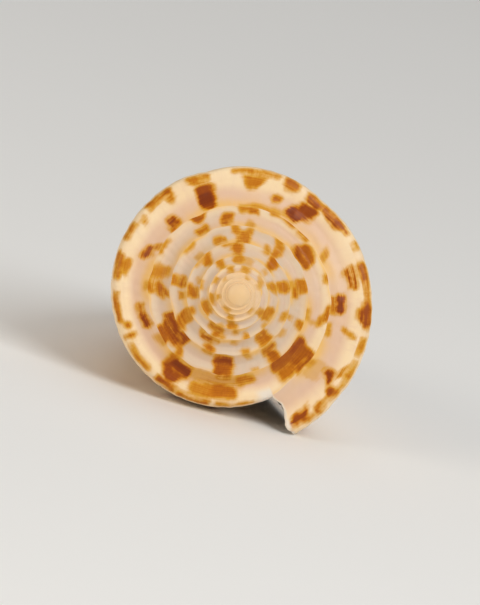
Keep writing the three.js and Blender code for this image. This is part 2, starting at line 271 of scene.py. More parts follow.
# How much the noises add: clouds to the stain, lines to the streaks, rags, frays, threads and lines to the
# pigment's edge, threads, lines and clouds to its tone, clouds and bare to the gloss, and threads to the
# height.
STAIN_CLOUDS = 0.6
STREAK_LINES = 0.5
EDGE_SHARES = (0.16, 0.9, 0.4, 0.1)
TONE_SHARES = (0.4, 0.24, 0.3)
GLOSS = 0.26
GLOSS_SHARES = (0.16, 0.1)
HEIGHT_THREADS = 0.6

# Smooth maps of the finish: from low and high, to start and end.
STAIN_MAP = (-0.12, 0.95, 0, 0.8)
STREAK_MAP = (0.45, 0.8, 0, 0.3)
HEART_MAP = (-0.06, 0.4, 0.15, 1)
COVER_MAP = (-0.28, 0.16, 0, 1)
WEIGHT_MAP = (-0.1, 0.28, 0.32, 0.97)
HALO_MAP = (-0.5, 0, 0, 0.45)
FLOOR_MAP = (0.3, 0.7, 0, 0.12)
FLOOR_DARKER = 0.9

# Tones at which the pigment is ochre, amber, chestnut and plum.
TONE_STOPS = (0.05, 0.36, 0.68, 1.0)

# Soft lights: which way they hang from the aim (right, up and towards the camera; the top one in the frame's
# axes), how far away, and how large.
SIDE_LAMP_PLACE = (0.9, 0.45, 0.8)
SIDE_LAMP_DISTANCE = 0.9
SIDE_LAMP_SIZE = 0.6
TOP_LAMP_PLACE = (0.1, 0.4, 1)
TOP_LAMP_DISTANCE = 1.0
TOP_LAMP_SIZE = 1.0


def smooth(x, low, high):
    """A step from 0 to 1 between low and high with a flat start and end: t * t * (3 - 2 t)."""
    t = np.clip((x - low) / (high - low), 0, 1)
    return t * t * (3 - 2 * t)


def mix(a, b, share):
    """The point a share of the way from a to b."""
    return a + (b - a) * share


def ripple(turn, waves, seed, sines=10, spread=4):
    """Seeded smooth noise near -1 to 1: sines with between waves[0] and waves[1] waves a turn, added up and
    divided by a spread."""
    dice = np.random.default_rng(seed)
    total = 0
    for count, phase in zip(dice.uniform(*waves, sines), dice.uniform(0, TAU, sines)):
        total = total + np.sin(TAU * count * turn + phase)
    return total / spread


def mottle(u, v, pattern, planes=12, finer=0.1, spread=5):
    """Seeded smooth noise of two parameters near -1 to 1: plane waves of all directions, some finer than
    others, added up and divided by a spread."""
    along, over, seed = pattern
    dice = np.random.default_rng(seed)
    total = 0
    for angle, count, phase in zip(*dice.uniform(0, TAU, (2, planes)), dice.uniform(0, TAU, planes)):
        wave = along * u * np.cos(angle) + over * v * np.sin(angle)
        total = total + np.sin((1 + finer * count) * wave + phase)
    return total / spread


class ShellForm(bpy.types.PropertyGroup):
    """The sizes that drive the shell's coil."""

    length: bpy.props.FloatProperty(
        name="Length", description="From the anterior end to the apex", default=62 * MM, unit="LENGTH")
    spire_rise: bpy.props.FloatProperty(
        name="Spire rise", description="Height of the spire above the shoulder", default=8 * MM,
        unit="LENGTH")
    lip_radius: bpy.props.FloatProperty(
        name="Lip radius", description="Radius of the shoulder at the lip", default=20.4 * MM,
        unit="LENGTH")
    lip_flare: bpy.props.FloatProperty(
        name="Lip flare", description="Share by which the lip opens outwards", default=0.05)
    whorl_ratio: bpy.props.FloatProperty(
        name="Whorl ratio", description="Growth of every radius in one turn", default=1.32)
    whorls: bpy.props.IntProperty(
        name="Whorls", description="Turns of the spire", default=9)
    crest_radius: bpy.props.FloatProperty(
        name="Crest radius", description="Radius of the ramp's highest line", default=18.5 * MM,
        unit="LENGTH")
    channel_depth: bpy.props.FloatProperty(
        name="Channel", description="Depth of the hollow along the ramp", default=0.38 * MM, unit="LENGTH")
    base_radius: bpy.props.FloatProperty(
        name="Base radius", description="Radius at the anterior end", default=5.2 * MM, unit="LENGTH")
    wall: bpy.props.FloatProperty(
        name="Wall", description="Thickness of the whorl's wall", default=1.4 * MM, unit="LENGTH")
    lip_edge: bpy.props.FloatProperty(
        name="Lip edge", description="Thickness of the wall at the lip", default=0.5 * MM, unit="LENGTH")
    lip_turn: bpy.props.FloatProperty(
        name="Lip turn", description="Turn of the lip about the axis at rest", default=math.radians(-53.3),
        subtype="ANGLE")
    axis_dip: bpy.props.FloatProperty(
        name="Axis dip", description="Dip of the apex below level at rest", default=math.radians(12.5),
        subtype="ANGLE")


def colour(name, description, rgb):
    """A colour property whose default is given in display values from 0 to 255."""
    value = np.array(rgb) / 255
    linear = np.where(value <= 0.04045, value / 12.92, ((value + 0.055) / 1.055) ** 2.4)
    return bpy.props.FloatVectorProperty(
        name=name, description=description, subtype="COLOR", size=4, min=0, max=1, default=(*linear, 1.0))


class ShellFinish(bpy.types.PropertyGroup):
    """The colours of the shell's finish."""

    # The pink ground of the ramp and the cream of the shoulder are partly the shell's colours and partly
    # painted shade in the channel and a painted highlight along the crest.
    ground: colour("Ground", "Pinkish ground in the middle of the ramp", (228, 192, 164))
    cream: colour("Cream", "Bright ground of the shoulder", (248, 222, 182))
    honey: colour("Honey", "Yellow stain along the sutures and on the apex", (242, 190, 96))
    chalk: colour("Chalk", "Greyer white of the old whorls", (217, 195, 173))
    bare: colour("Bare", "Worn lip, callus and inside", (238, 226, 210))
    ochre: colour("Ochre", "Lightest pigment", (218, 158, 44))
    amber: colour("Amber", "Orange-brown pigment", (196, 115, 8))
    chestnut: colour("Chestnut", "Brown pigment", (154, 68, 3))
    plum: colour("Plum", "Darkest pigment", (122, 46, 12))


class StageLook(bpy.types.PropertyGroup):
    """The floor, the lights and the air of the studio."""

    floor: colour("Floor", "Plain pale floor", (244, 243, 240))
    floor_size: bpy.props.FloatProperty(
        name="Floor size", description="Length of the floor's side", default=8.0, unit="LENGTH")
    left_power: bpy.props.FloatProperty(
        name="Left light", description="Power of the soft light left of the camera", default=3.4,
        unit="POWER")
    left_tone: bpy.props.FloatVectorProperty(
        name="Left tone", description="Tone of the soft light left of the camera", subtype="COLOR",
        default=(1, 0.9, 0.76))
    right_power: bpy.props.FloatProperty(
        name="Right light", description="Power of the soft light right of the camera", default=5.3,
        unit="POWER")
    top_power: bpy.props.FloatProperty(
        name="Top light", description="Power of the soft light overhead", default=2.7, unit="POWER")
    air: bpy.props.FloatProperty(
        name="Air", description="Strength of the even light from all round", default=0.18)


class Coil:
    """The shell's surface in its own frame: the axis is Z, the apex is up and z = 0 is the anterior end.

    back counts turns back from the lip, counter-clockwise seen from the apex. across runs over a whorl's
    ramp from the inner suture (0) to the outer edge (1). down runs over the side from the shoulder (0) to
    the anterior end (1). A profile is a pair of radius and height.
    """

    # Spire and shoulder: the nucleus, how hollow the outline is, the lip's flare and the rounded crown.
    NUCLEUS_RISE = 0.55 * MM
    SPIRE_HOLLOW = 1.7
    FLARE_REACH = 0.4
    SHOULDER_SHAVE = 1.1 * MM
    SHOULDER_ROUNDING = 0.65 * MM
    LEAST_SHARE = 1e-4

    # Sutures: their depth, the descent where the lip meets the whorl before, how they waver, and the stretch
    # where the last whorl climbs over the one before (turns where it starts, is full, ends and is gone).
    SUTURE_DROP = 0.02 * MM
    SUTURE_DESCENT = 0.3 * MM
    DESCENT_REACH = 0.02
    SUTURE_WOBBLE = 0.05 * MM
    WOBBLE_WAVES = (6, 26)
    WOBBLE_SEED = 3
    WOBBLE_START = (0.9, 1.2)
    SUTURE_CLIMB = 0.033
    CLIMB_STRETCH = (1.12, 1.4, 1.45, 1.75)

    # Side and anterior end: the swell, the gap that a turn closes low down, and the notch.
    SIDE_CONVEXITY = 0.12
    LOW_GAP = 3.8 * MM
    GAP_BLEND = (0.6, 0.9)
    SIPHON_NOTCH = 0.8 * MM

    # Hollow behind the lip: its wall, its length in turns, its end, its core, and where its corners bend.
    WALL_REACH = 0.12
    HOLLOW_TURNS = 11 / 12
    HOLLOW_END = 0.3
    COLUMELLA_RADIUS = 1.2 * MM
    COLUMELLA_TIP = 0.4 * MM
    ROOF_BEND = (0.5, 1)
    WALL_BEND = (0, 0.2)

    # Lip, in turns back: the notch on the ramp, the shoulder corner (on the ramp and below), the worn side
    # and the chips, with their waves in a ramp's width and the side's length in such widths. Then the turns
    # behind the lip that follow its edge, and the bulge of the edge.
    NOTCH_BACK = 0.0075
    NOTCH_LEAN = 0.9
    SHOULDER_BACK = (0.0034, 0.0062)
    CORNER_ROUNDING = (0.015, 0.05)
    LIP_WORN = 0.016
    WORN_REACH = 0.7
    LIP_CHIPS = 0.0016
    CHIP_WAVES = (0.8, 3.5)
    CHIP_SEED = 5
    CHIP_START = (0, 0.2)
    SIDE_WIDTHS = 8
    LIP_SHIFT_REACH = 0.25
    LIP_BULGE = 0.16 * MM

    # Relief: growth swells, spiral threads and anterior grooves, and where they fade out.
    GROWTH_RELIEF = 0.035 * MM
    GROWTH_WAVES = (24, 70)
    GROWTH_SEED = 7
    GROWTH_LEAN = 0.01
    THREAD_RELIEF = 0.02 * MM
    THREADS = 3.5
    RAMP_FADE = 0.7
    NUCLEUS_FADE = 0.5
    ANTERIOR_RELIEF = 0.11 * MM
    GROOVES = 26
    GROOVE_BUNCHING = 1.25
    GROOVE_START = (0.55, 0.9)
    SHOULDER_FADE = 0.05
    BASE_FADE = 0.04
    COVERED_FADE = 0.012
    WEAR_DROP = 0.3
    WEAR_START = (0.84, 1)

    def __init__(self, form):
        self.form = form
        self.turn_growth = 1 - 1 / form.whorl_ratio
        self.nucleus_growth = form.whorl_ratio ** -form.whorls
        self.cone_top = form.lip_radius + self.SHOULDER_SHAVE

    def growth(self, back):
        """Size against the lip's: the whorl ratio to the power of minus back."""
        return self.form.whorl_ratio ** -np.minimum(back, self.form.whorls)

    def flare(self, back):
        """The last stretch opens outwards: 1 plus the flare, smoothly, at the lip."""
        return 1 + self.form.lip_flare * (1 - smooth(back, 0, self.FLARE_REACH))

    def crest_height(self, back):
        """The spire's outline: the climb from shoulder to nucleus is a power of the shrinking done."""
        climbed = 1 - (self.growth(back) - self.nucleus_growth) / (1 - self.nucleus_growth)
        climb = np.maximum(climbed, 0) ** self.SPIRE_HOLLOW
        rise = self.form.spire_rise
        return self.form.length - rise + (rise - self.NUCLEUS_RISE) * climb

    def base_height(self, back):
        """The anterior end is notched: a squared sine over the last turn."""
        return self.SIPHON_NOTCH * np.sin(math.pi * np.minimum(back, 1)) ** 2

    def lip_outline(self, share):
        """Radius of the cone's side by share of its height: a swollen line, less a rounded shoulder."""
        crown_depth = np.maximum(1 - share, 0) * (self.form.length - self.form.spire_rise)
        swollen = share + self.SIDE_CONVEXITY * share * (1 - share)
        crown = np.exp(-np.sqrt(crown_depth / self.SHOULDER_ROUNDING))
        shaved = (self.cone_top - self.form.crest_radius) * crown
        return self.form.base_radius + (self.cone_top - self.form.base_radius) * swollen - shaved

    def side_radius(self, back, depth):
        """Radius of the side at a depth below the crest: the lip's outline less the gap a turn closes."""
        share = 1 - depth / (self.crest_height(back) - self.base_height(back))
        outline = self.lip_outline(share)
        gap = mix(self.LOW_GAP, outline * self.turn_growth, smooth(share, *self.GAP_BLEND))
        return (outline - gap * (1 - self.growth(back)) / self.turn_growth) * self.flare(back)

    def suture_depth(self, back):
        """Depth of the suture below the crest: a drop that wavers, and a descent at the lip."""
        turn = np.minimum(back, self.form.whorls)
        wobble = np.maximum(1 + ripple(turn, self.WOBBLE_WAVES, self.WOBBLE_SEED), 0)
        waver = self.SUTURE_WOBBLE * wobble * smooth(back, *self.WOBBLE_START)
        descent = self.SUTURE_DESCENT * np.exp(-((back - 1) / self.DESCENT_REACH) ** 2)
        return (self.SUTURE_DROP + waver) * self.growth(back) + descent

    def suture_pull(self, back):
        """Share of the radius left where the last whorl climbs over the one before: 1, and a little less
        over a stretch of the suture."""
        start, full, end, gone = self.CLIMB_STRETCH
        return 1 - self.SUTURE_CLIMB * smooth(back, start, full) * (1 - smooth(back, end, gone))

    def suture(self, back):
        """Profile of the suture: the side at the suture's depth, pulled in where the whorl climbs."""
        depth = self.suture_depth(back)
        return self.side_radius(back, depth) * self.suture_pull(back), self.crest_height(back) - depth

    def ramp(self, back, across):
        """Profile of the ramp: from the inner suture over a channel to the crest, then down to the edge."""
        inner_r, inner_h = self.suture(back + 1)
        outer_r, outer_h = self.suture(back)
        width = np.maximum(outer_r - inner_r, WELD)
        crest_r = self.form.crest_radius * self.growth(back) * self.flare(back) * self.suture_pull(back)
        crest = np.clip((crest_r - inner_r) / width, 0, 1)
        top = np.where(crest > 0, self.crest_height(back), inner_h)
        beyond = np.clip((across - crest) / np.maximum(1 - crest, self.LEAST_SHARE), 0, 1)
        along = np.clip(across / np.maximum(crest, self.LEAST_SHARE), 0, 1)
        channel = self.form.channel_depth * self.growth(back) * np.sin(math.pi * along) ** 2
        inside = top + (inner_h - top) * (1 - along) ** 2 - channel
        outside = mix(top, outer_h, beyond ** 2)
        return mix(inner_r, outer_r, across), np.where(across >= crest, outside, inside)

    def side(self, back, down, start=None):
        """Profile of the side, with rows bunched towards the shoulder by a power of down."""
        start = self.suture_depth(back) if start is None else start
        crest = self.crest_height(back)
        depth = mix(start, crest - self.base_height(back), down ** SIDE_BUNCHING)
        return np.maximum(self.side_radius(back, depth), self.COLUMELLA_RADIUS), crest - depth

    def wall(self, back):
        """Thickness of the wall, from the lip's edge to its full size."""
        return mix(self.form.lip_edge, self.form.wall, smooth(back, 0, self.WALL_REACH))

    def openness(self, back):
        """How far the hollow is open: 1, closing to 0 at the hollow's end."""
        return np.sqrt(smooth(self.HOLLOW_TURNS - back, 0, self.HOLLOW_END))

    def hollow_core(self, back, down):
        """The hollow's inner side: the whorl before, from just under its suture."""
        start = self.suture_depth(back + 1) + self.wall(back) - self.form.lip_edge
        return self.side(back + 1, down, start)

    def hollow_roof(self, back, across):
        """The hollow's roof: the ramp moved in by the wall, pulled to the core at its inner end."""
        core_r, core_h = self.hollow_core(back, np.zeros_like(back))
        thick = self.wall(back)
        angle = smooth(across, *self.ROOF_BEND) / 2 * math.pi / 2
        free_r, free_h = self.ramp(back, across)
        near_r, near_h = self.ramp(back, np.zeros_like(back))
        pull = (1 - across) ** 2
        free_r = free_r - thick * np.sin(angle) + (core_r - near_r) * pull
        free_h = free_h - thick * np.cos(angle) + (core_h - near_h + thick) * pull
        share = self.openness(back)
        return mix(core_r, free_r, share), mix(core_h, free_h, share)

    def hollow_wall(self, back, down):
        """The hollow's outer side: the side moved in by the wall."""
        core_r, core_h = self.hollow_core(back, down)
        angle = (0.5 + smooth(down, *self.WALL_BEND) / 2) * math.pi / 2
        free_r, free_h = self.side(back, down)
        free_r = free_r - self.wall(back) * np.sin(angle)
        free_h = free_h - self.wall(back) * np.cos(angle)
        share = self.openness(back)
        return mix(core_r, free_r, share), mix(core_h, free_h, share)

    def lip_shift(self, across, down):
        """How far back the lip's edge lies: notched on the ramp, rounded at the corner, worn hollow along
        the side, with small chips."""
        place = across + down * self.SIDE_WIDTHS
        chipped = np.maximum(ripple(place, self.CHIP_WAVES, self.CHIP_SEED), 0)
        chips = self.LIP_CHIPS * chipped * smooth(across, *self.CHIP_START)
        worn = self.LIP_WORN * np.sin(math.pi * np.minimum(down ** SIDE_BUNCHING / self.WORN_REACH, 1))
        notch = self.NOTCH_BACK * np.sin(math.pi * across ** self.NOTCH_LEAN) ** 2
        shoulder = across * mix(*self.SHOULDER_BACK, smooth(down, *self.CORNER_ROUNDING))
        return notch + shoulder + worn + chips

    def relief(self, back, across, down):
        """Low relief of the outside, in radius and height: growth swells, spiral threads, anterior grooves
        and the worn stretches of the rim. It fades out at the sutures, at the base and where the lip hides
        it, and it takes away more than it adds."""
        leaned = back + self.GROWTH_LEAN * across
        swell = ripple(leaned, self.GROWTH_WAVES, self.GROWTH_SEED)
        swell = self.GROWTH_RELIEF * swell * self.growth(back)
        thread = self.THREAD_RELIEF * np.sin(TAU * self.THREADS * across) * self.growth(back)
        on_ramp = np.sin(math.pi * np.clip(across, 0, 1)) ** self.RAMP_FADE * (down <= 0)
        on_ramp = on_ramp * smooth(self.form.whorls - back, 0, self.NUCLEUS_FADE)
        lift = (swell + thread - self.GROWTH_RELIEF) * on_ramp
        on_side = smooth(down, 0, self.SHOULDER_FADE) * smooth(1 - down, 0, self.BASE_FADE)
        on_side = on_side * smooth(1 - back, 0, self.COVERED_FADE)
        groove = np.sin(TAU * self.GROOVES * down ** self.GROOVE_BUNCHING) - 1
        groove = groove * smooth(down, *self.GROOVE_START) * self.ANTERIOR_RELIEF
        thinner = (groove + swell - self.GROWTH_RELIEF) * on_side
        below_rim = np.exp(-(down / self.WEAR_DROP) ** 2)
        over_rim = np.where(down > 0, below_rim, smooth(across, *self.WEAR_START))
        for centre, half, depth in RIM_WEAR:
            bite = depth * np.exp(-((back * 360 - centre) / half) ** 2)
            thinner = thinner - bite * over_rim * (back < 1)
        return thinner, lift

    def place(self, radius, height, back, shift=0):
        """Turns a profile into points: back turns about the axis, with the lip's shift fading behind it."""
        fade = np.maximum(1 - back / self.LIP_SHIFT_REACH, 0) ** 2
        angle = TAU * (back + shift * fade)
        return np.stack([radius * np.cos(angle), radius * np.sin(angle), height + 0 * angle], axis=-1)


class Patches:
    """Gathers grids of points with their marks, and joins them into one welded mesh of triangles."""

    def __init__(self):
        self.points = []
        self.marks = []
        self.triangles = []
        self.count = 0

    def add(self, points, marks, flip=False):
        """Adds a grid of points with one row of marks a point, and its two triangles a cell."""
        columns, rows = points.shape[:2]
        index = self.store(points, marks).reshape(columns, rows)
        a, b = index[:-1, :-1].ravel(), index[1:, :-1].ravel()
        c, d = index[1:, 1:].ravel(), index[:-1, 1:].ravel()
        self.tie(np.concatenate([np.stack([a, b, c], 1), np.stack([a, c, d], 1)]), flip)
        return index

    def store(self, points, marks):
        """Adds loose points and returns their numbers."""
        flat = points.reshape(-1, 3)
        self.points.append(flat)
        self.marks.append(marks.reshape(len(flat), -1))
        self.count += len(flat)
        return np.arange(self.count - len(flat), self.count)

    def tie(self, triangles, flip=False):
        """Adds triangles of stored points with their corners in reverse order, or as they are with flip."""
        self.triangles.append(triangles if flip else triangles[:, ::-1])

    def bridge(self, fine, coarse, flip=False):
        """Joins a row with many points to one with few: each coarse step takes a fan of fine steps."""
        steps = (len(fine) - 1) // (len(coarse) - 1)
        first = np.arange(len(fine) - 1)
        step = first // steps
        near = coarse[step + (first % steps >= steps // 2)]
        fans = np.stack([fine[:-1], fine[1:], near], 1)
        middles = fine[np.arange(len(coarse) - 1) * steps + steps // 2]
        self.tie(np.concatenate([fans, np.stack([middles, coarse[1:], coarse[:-1]], 1)]), flip)

    def weld(self):
        """Points at the same place become one, and triangles left with fewer than three go."""
        points = np.concatenate(self.points)
        corners = np.concatenate(self.triangles)
        cells = np.round(points / WELD).astype(np.int64)
        _, first, number = np.unique(cells, axis=0, return_index=True, return_inverse=True)
        welded = number.reshape(-1)[corners]
        whole = (welded != np.roll(welded, 1, axis=1)).all(axis=1)
        return points[first], welded[whole], np.concatenate(self.marks)[corners[whole]]


# Values that each point carries: the first two become the UV map, the others attributes of the mesh.
MARKS = ("back", "reach", "pigment", "tone", "cream", "honey", "chalk", "bare")


def blotch_field(degrees, reach, radius, width, blotches):
    """Pigment over a whorl: how deep a point lies inside the blotches, in metres, and the tone there.

    Each blotch is a leaning box with rounded corners. Blotches that touch run into each other: the depth is
    the merge length times the logarithm of the sum of exp(depth / merge length). Later tones cover earlier.
    """
    shade = np.zeros(degrees.shape)
    weight_sum = np.full(degrees.shape, LEAST_WEIGHT)
    for start, end, inner, outer, tone, *slant in blotches:
        lean, widening = (*slant, 0, 0)[:2]
        along = (reach - (inner + outer) / 2) / ((outer - inner) / 2)
        wider = np.clip(1 + widening * along, *BLOTCH_WIDENING_LIMITS)
        long = np.radians((end - start) / 2) * wider * radius
        tall = (outer - inner) / 2 * width
        corner = BLOTCH_ROUNDING * np.minimum(long, tall)
        x = np.abs(np.radians(degrees - (start + end) / 2 - lean * along / 2)) * radius - long + corner
        y = (np.abs(along) - 1) * tall + corner
        outside = np.hypot(np.maximum(x, 0), np.maximum(y, 0)) + np.minimum(np.maximum(x, y), 0) - corner
        weight_sum += np.exp(np.clip(-outside / BLOTCH_MERGE, *FIELD_LIMITS))
        shade = mix(shade, tone, smooth(-outside, *BLOTCH_BLEND))
    depth = BLOTCH_MERGE * np.log(weight_sum) + BLOTCH_SPREAD
    return np.clip(depth, -BLOTCH_LIMIT, BLOTCH_LIMIT), shade


def blotch_waver(back, reach, radius):
    """How far the blotches' outlines waver: in degrees along the coil, and in reach across it."""
    along, over = BLOTCH_WAVER
    shift = along * mottle(back, reach, WAVER_PATTERNS[0]) / np.maximum(radius, SMALLEST_RADIUS)
    return np.degrees(shift), over * mottle(back, reach, WAVER_PATTERNS[1])


def side_spots():
    """Spiral rows of marks on the side, as blotches with depths for reaches, from a seeded draw. Every
    third row is bold, and its marks run together in places."""
    dice = np.random.default_rng(SPOT_SEED)
    spots = []
    for row in range(SPOT_ROWS):
        depth = mix(*SPOT_DEPTHS, (row / (SPOT_ROWS - 1)) ** SPOT_BUNCHING)
        bold = int(row % 3 == 1)
        place = dice.uniform(*SPOT_STARTS)
        while place < SPOT_LAST_START:
            length = dice.uniform(*SPOT_LENGTHS[bold])
            half = dice.uniform(*SPOT_HALF_HEIGHTS[bold])
            middle = depth + dice.normal(0, SPOT_SCATTER)
            tone = np.clip(dice.normal(SPOT_TONES[bold], SPOT_TONE_SPREAD), *SPOT_TONE_LIMITS)
            lean = dice.normal(0, SPOT_LEAN)
            spots.append((place, place + length, middle - half, middle + half, tone, lean))
            place += length + dice.uniform(*SPOT_GAPS[bold])
    return spots


def ground_marks(back, reach):
    """The ground's marks: cream towards the shoulder, partly the shell's colour and partly a painted
    highlight along the crest, over a pinker ramp that is partly painted shade in the channel; honey stains
    on both sides of the sutures; and chalk on the old whorls; each mottled. The apex is plain: half cream,
    with some honey."""
    cloud = mottle(back, reach, CLOUD_PATTERN)
    apex = smooth(back, *APEX_TURNS)
    # Cream by reach towards the shoulder: partly the shell's colour, partly a painted highlight along the
    # crest.
    cream = np.clip(smooth(reach, *CREAM_AND_HIGHLIGHT_REACH) + CREAM_CLOUD * cloud, 0, 1)
    cream = mix(cream, APEX_CREAM, apex)
    blur = HONEY_BLUR[0] + HONEY_BLUR[1] * mottle(back, reach, HONEY_PATTERN)
    inner_band = np.exp(-(reach / HONEY_WIDTHS[0]) ** 2) * (reach < 1)
    outer_band = np.exp(-((1 - reach) / HONEY_WIDTHS[1]) ** 2) * (reach < 1)
    outer_band = OUTER_HONEY * outer_band * smooth(back, *OUTER_HONEY_TURNS)
    honey = np.clip((inner_band + outer_band) * blur * (1 - apex) + APEX_HONEY * apex, 0, 1)
    old = smooth(back, *CHALK_TURNS) * (1 - smooth(back, *CHALK_END))
    chalk = np.clip(old * (CHALK_CLOUD[0] + CHALK_CLOUD[1] * cloud), 0, 1)
    return cream, honey, chalk


def outside_marks(back, reach, pigment, tone, bare=0.0):
    """One row of marks a point, in the order of MARKS."""
    cream, honey, chalk = ground_marks(back, reach)
    return np.stack([back, reach, pigment, tone, cream, honey, chalk, bare + 0 * back], axis=-1)


def inside_marks(back, reach):
    """Marks of the glazed inside: no pigment, all bare."""
    none = 0 * back
    return np.stack([back, reach, none - BLOTCH_LIMIT, none, none, none, none, none + 1], axis=-1)


def callus(back, reach):
    """Grey-white callus on the body just outside the lip: the last degrees before the lip covers it."""
    return smooth(back, *CALLUS_TURNS) * (back < CALLUS_END) * smooth(reach, *CALLUS_REACH)


def worn_lip(back, reach):
    """Thin worn edge of the lip, a little wider at its shoulder corner."""
    corner, spread = WORN_CORNER
    width = mix(*WORN_WIDTHS, np.exp(-((reach - corner) / spread) ** 2)) / 360
    return 1 - smooth(back, width * WORN_FULL, width)


def ramp_grid(coil, columns, across):
    """Points and marks of a stretch of ramp."""
    back, across = np.meshgrid(columns, across, indexing="ij")
    radius, height = coil.ramp(back, across)
    inner, outer = coil.suture(back + 1)[0], coil.suture(back)[0]
    pigment = np.full(back.shape, -BLOTCH_LIMIT)
    tone = np.zeros(back.shape)
    for whorl, blotches in enumerate(SPIRE_BLOTCHES):
        here = np.floor(back + ROUNDING) == whorl
        if here.any():
            turn, sway = blotch_waver(back, across, outer)
            degrees = (back - whorl) * 360 + turn
            depth, shade = blotch_field(degrees, across + sway, outer, outer - inner, blotches)
            pigment, tone = np.where(here, depth, pigment), np.where(here, shade, tone)
    tone = tone * (1 - OLD_FADE * smooth(back, *OLD_STRETCH))
    bare = np.maximum(callus(back, across), worn_lip(back, across))
    marks = outside_marks(back, across, pigment, tone, bare)
    thinner, lift = coil.relief(back, across, np.zeros_like(back))
    points = coil.place(radius + thinner, height + lift, back, coil.lip_shift(across, 0))
    return points, marks


def side_grid(coil, columns, down):
    """Points and marks of the side."""
    back, down = np.meshgrid(columns, down, indexing="ij")
    radius, height = coil.side(back, down)
    depth = coil.crest_height(back) - height
    reach = 1 + np.sqrt(np.maximum(depth - coil.SUTURE_DROP, 0) / RIM_REACH)
    turn, sway = blotch_waver(back, reach, radius)
    width = 2 * RIM_REACH * np.maximum(reach - 1, RIM_LEAST_REACH)
    rim, rim_tone = blotch_field(back * 360 + turn, reach + sway, radius, width, SPIRE_BLOTCHES[0])
    along, over = SPOT_WAVER
    turn = np.degrees(along * mottle(back, depth, SPOT_PATTERNS[0]) / radius)
    sway = over * mottle(back, depth, SPOT_PATTERNS[1])
    spots, spot_tone = blotch_field(back * 360 + turn, depth + sway, radius, 1, side_spots())
    low = spots > rim
    pigment, tone = np.where(low, spots, rim), np.where(low, spot_tone, rim_tone)
    pigment = mix(pigment, -BLOTCH_LIMIT, smooth(back, *SPOTS_STOP))
    bare = np.maximum(worn_lip(back, reach), callus(back, reach) * np.exp(-(depth / CALLUS_DEPTH) ** 2))
    marks = outside_marks(back, np.minimum(reach, RIM_REACH_LIMIT), pigment, tone, bare)
    marks[..., MARKS.index("reach")] = 1 + depth / SIDE_REACH
    thinner, _ = coil.relief(back, 1 + 0 * back, np.maximum(down, ROUNDING))
    points = coil.place(radius + thinner, height, back, coil.lip_shift(1, down))
    return points, marks


def lip_edge(patches, coil, outside, inside, marks):
    """The rounded edge of the lip: from the outside to the inside, bulging forward by a sine of the way."""
    share = np.linspace(0, 1, LIP_ROWS + 1)[:, None, None]
    forward = np.cross(outside, [0, 0, 1.0])
    forward = forward / np.linalg.norm(forward, axis=-1, keepdims=True)
    thickness = np.linalg.norm(inside - outside, axis=-1, keepdims=True) / coil.form.lip_edge
    bulge = coil.LIP_BULGE * np.minimum(thickness, 1) * np.sin(math.pi * share)
    edge_marks = np.broadcast_to(marks, (LIP_ROWS + 1, *marks.shape)).copy()
    edge_marks[..., MARKS.index("pigment")] = -BLOTCH_LIMIT
    edge_marks[..., MARKS.index("bare")] = 1
    return patches.add(mix(outside, inside, share) + forward * bulge, edge_marks, flip=True)


def base_sheet(patches, coil, rim_points, rim_marks):
    """The anterior end: a ring from the side's last row to the hollow's wall, which closes onto the body
    behind the hollow, and a fan from the hollow's core to the columella's tip."""
    columns = np.arange(HOLLOW_COLUMNS + 1) / HOLLOW_COLUMNS
    ones = np.ones_like(columns)
    hollow = np.minimum(columns, coil.HOLLOW_TURNS)
    closing = np.clip((columns - coil.HOLLOW_TURNS) / (1 - coil.HOLLOW_TURNS), 0, 1)
    body_r, body_h = coil.side(ones, ones)
    wall_r, wall_h = coil.hollow_wall(hollow, ones)
    wall_r, wall_h = mix(wall_r, body_r, closing), mix(wall_h, body_h, closing)
    marks = inside_marks(columns, 2 * ones)
    outer = patches.store(rim_points, rim_marks)
    wall = patches.store(coil.place(wall_r, wall_h, columns, coil.lip_shift(1, 1)), marks)
    patches.bridge(outer, wall)
    core_r, core_h = coil.hollow_core(hollow, ones)
    behind = closing > 0
    core_r, core_h = np.where(behind, wall_r, core_r), np.where(behind, wall_h, core_h)
    core = patches.store(coil.place(core_r, core_h, columns), marks)
    tip_point = np.array([[0, 0, -coil.COLUMELLA_TIP]])
    tip = patches.store(tip_point, inside_marks(np.zeros(1), np.full(1, 2.0)))
    patches.tie(np.stack([core[:-1], core[1:], np.repeat(tip, HOLLOW_COLUMNS)], 1))


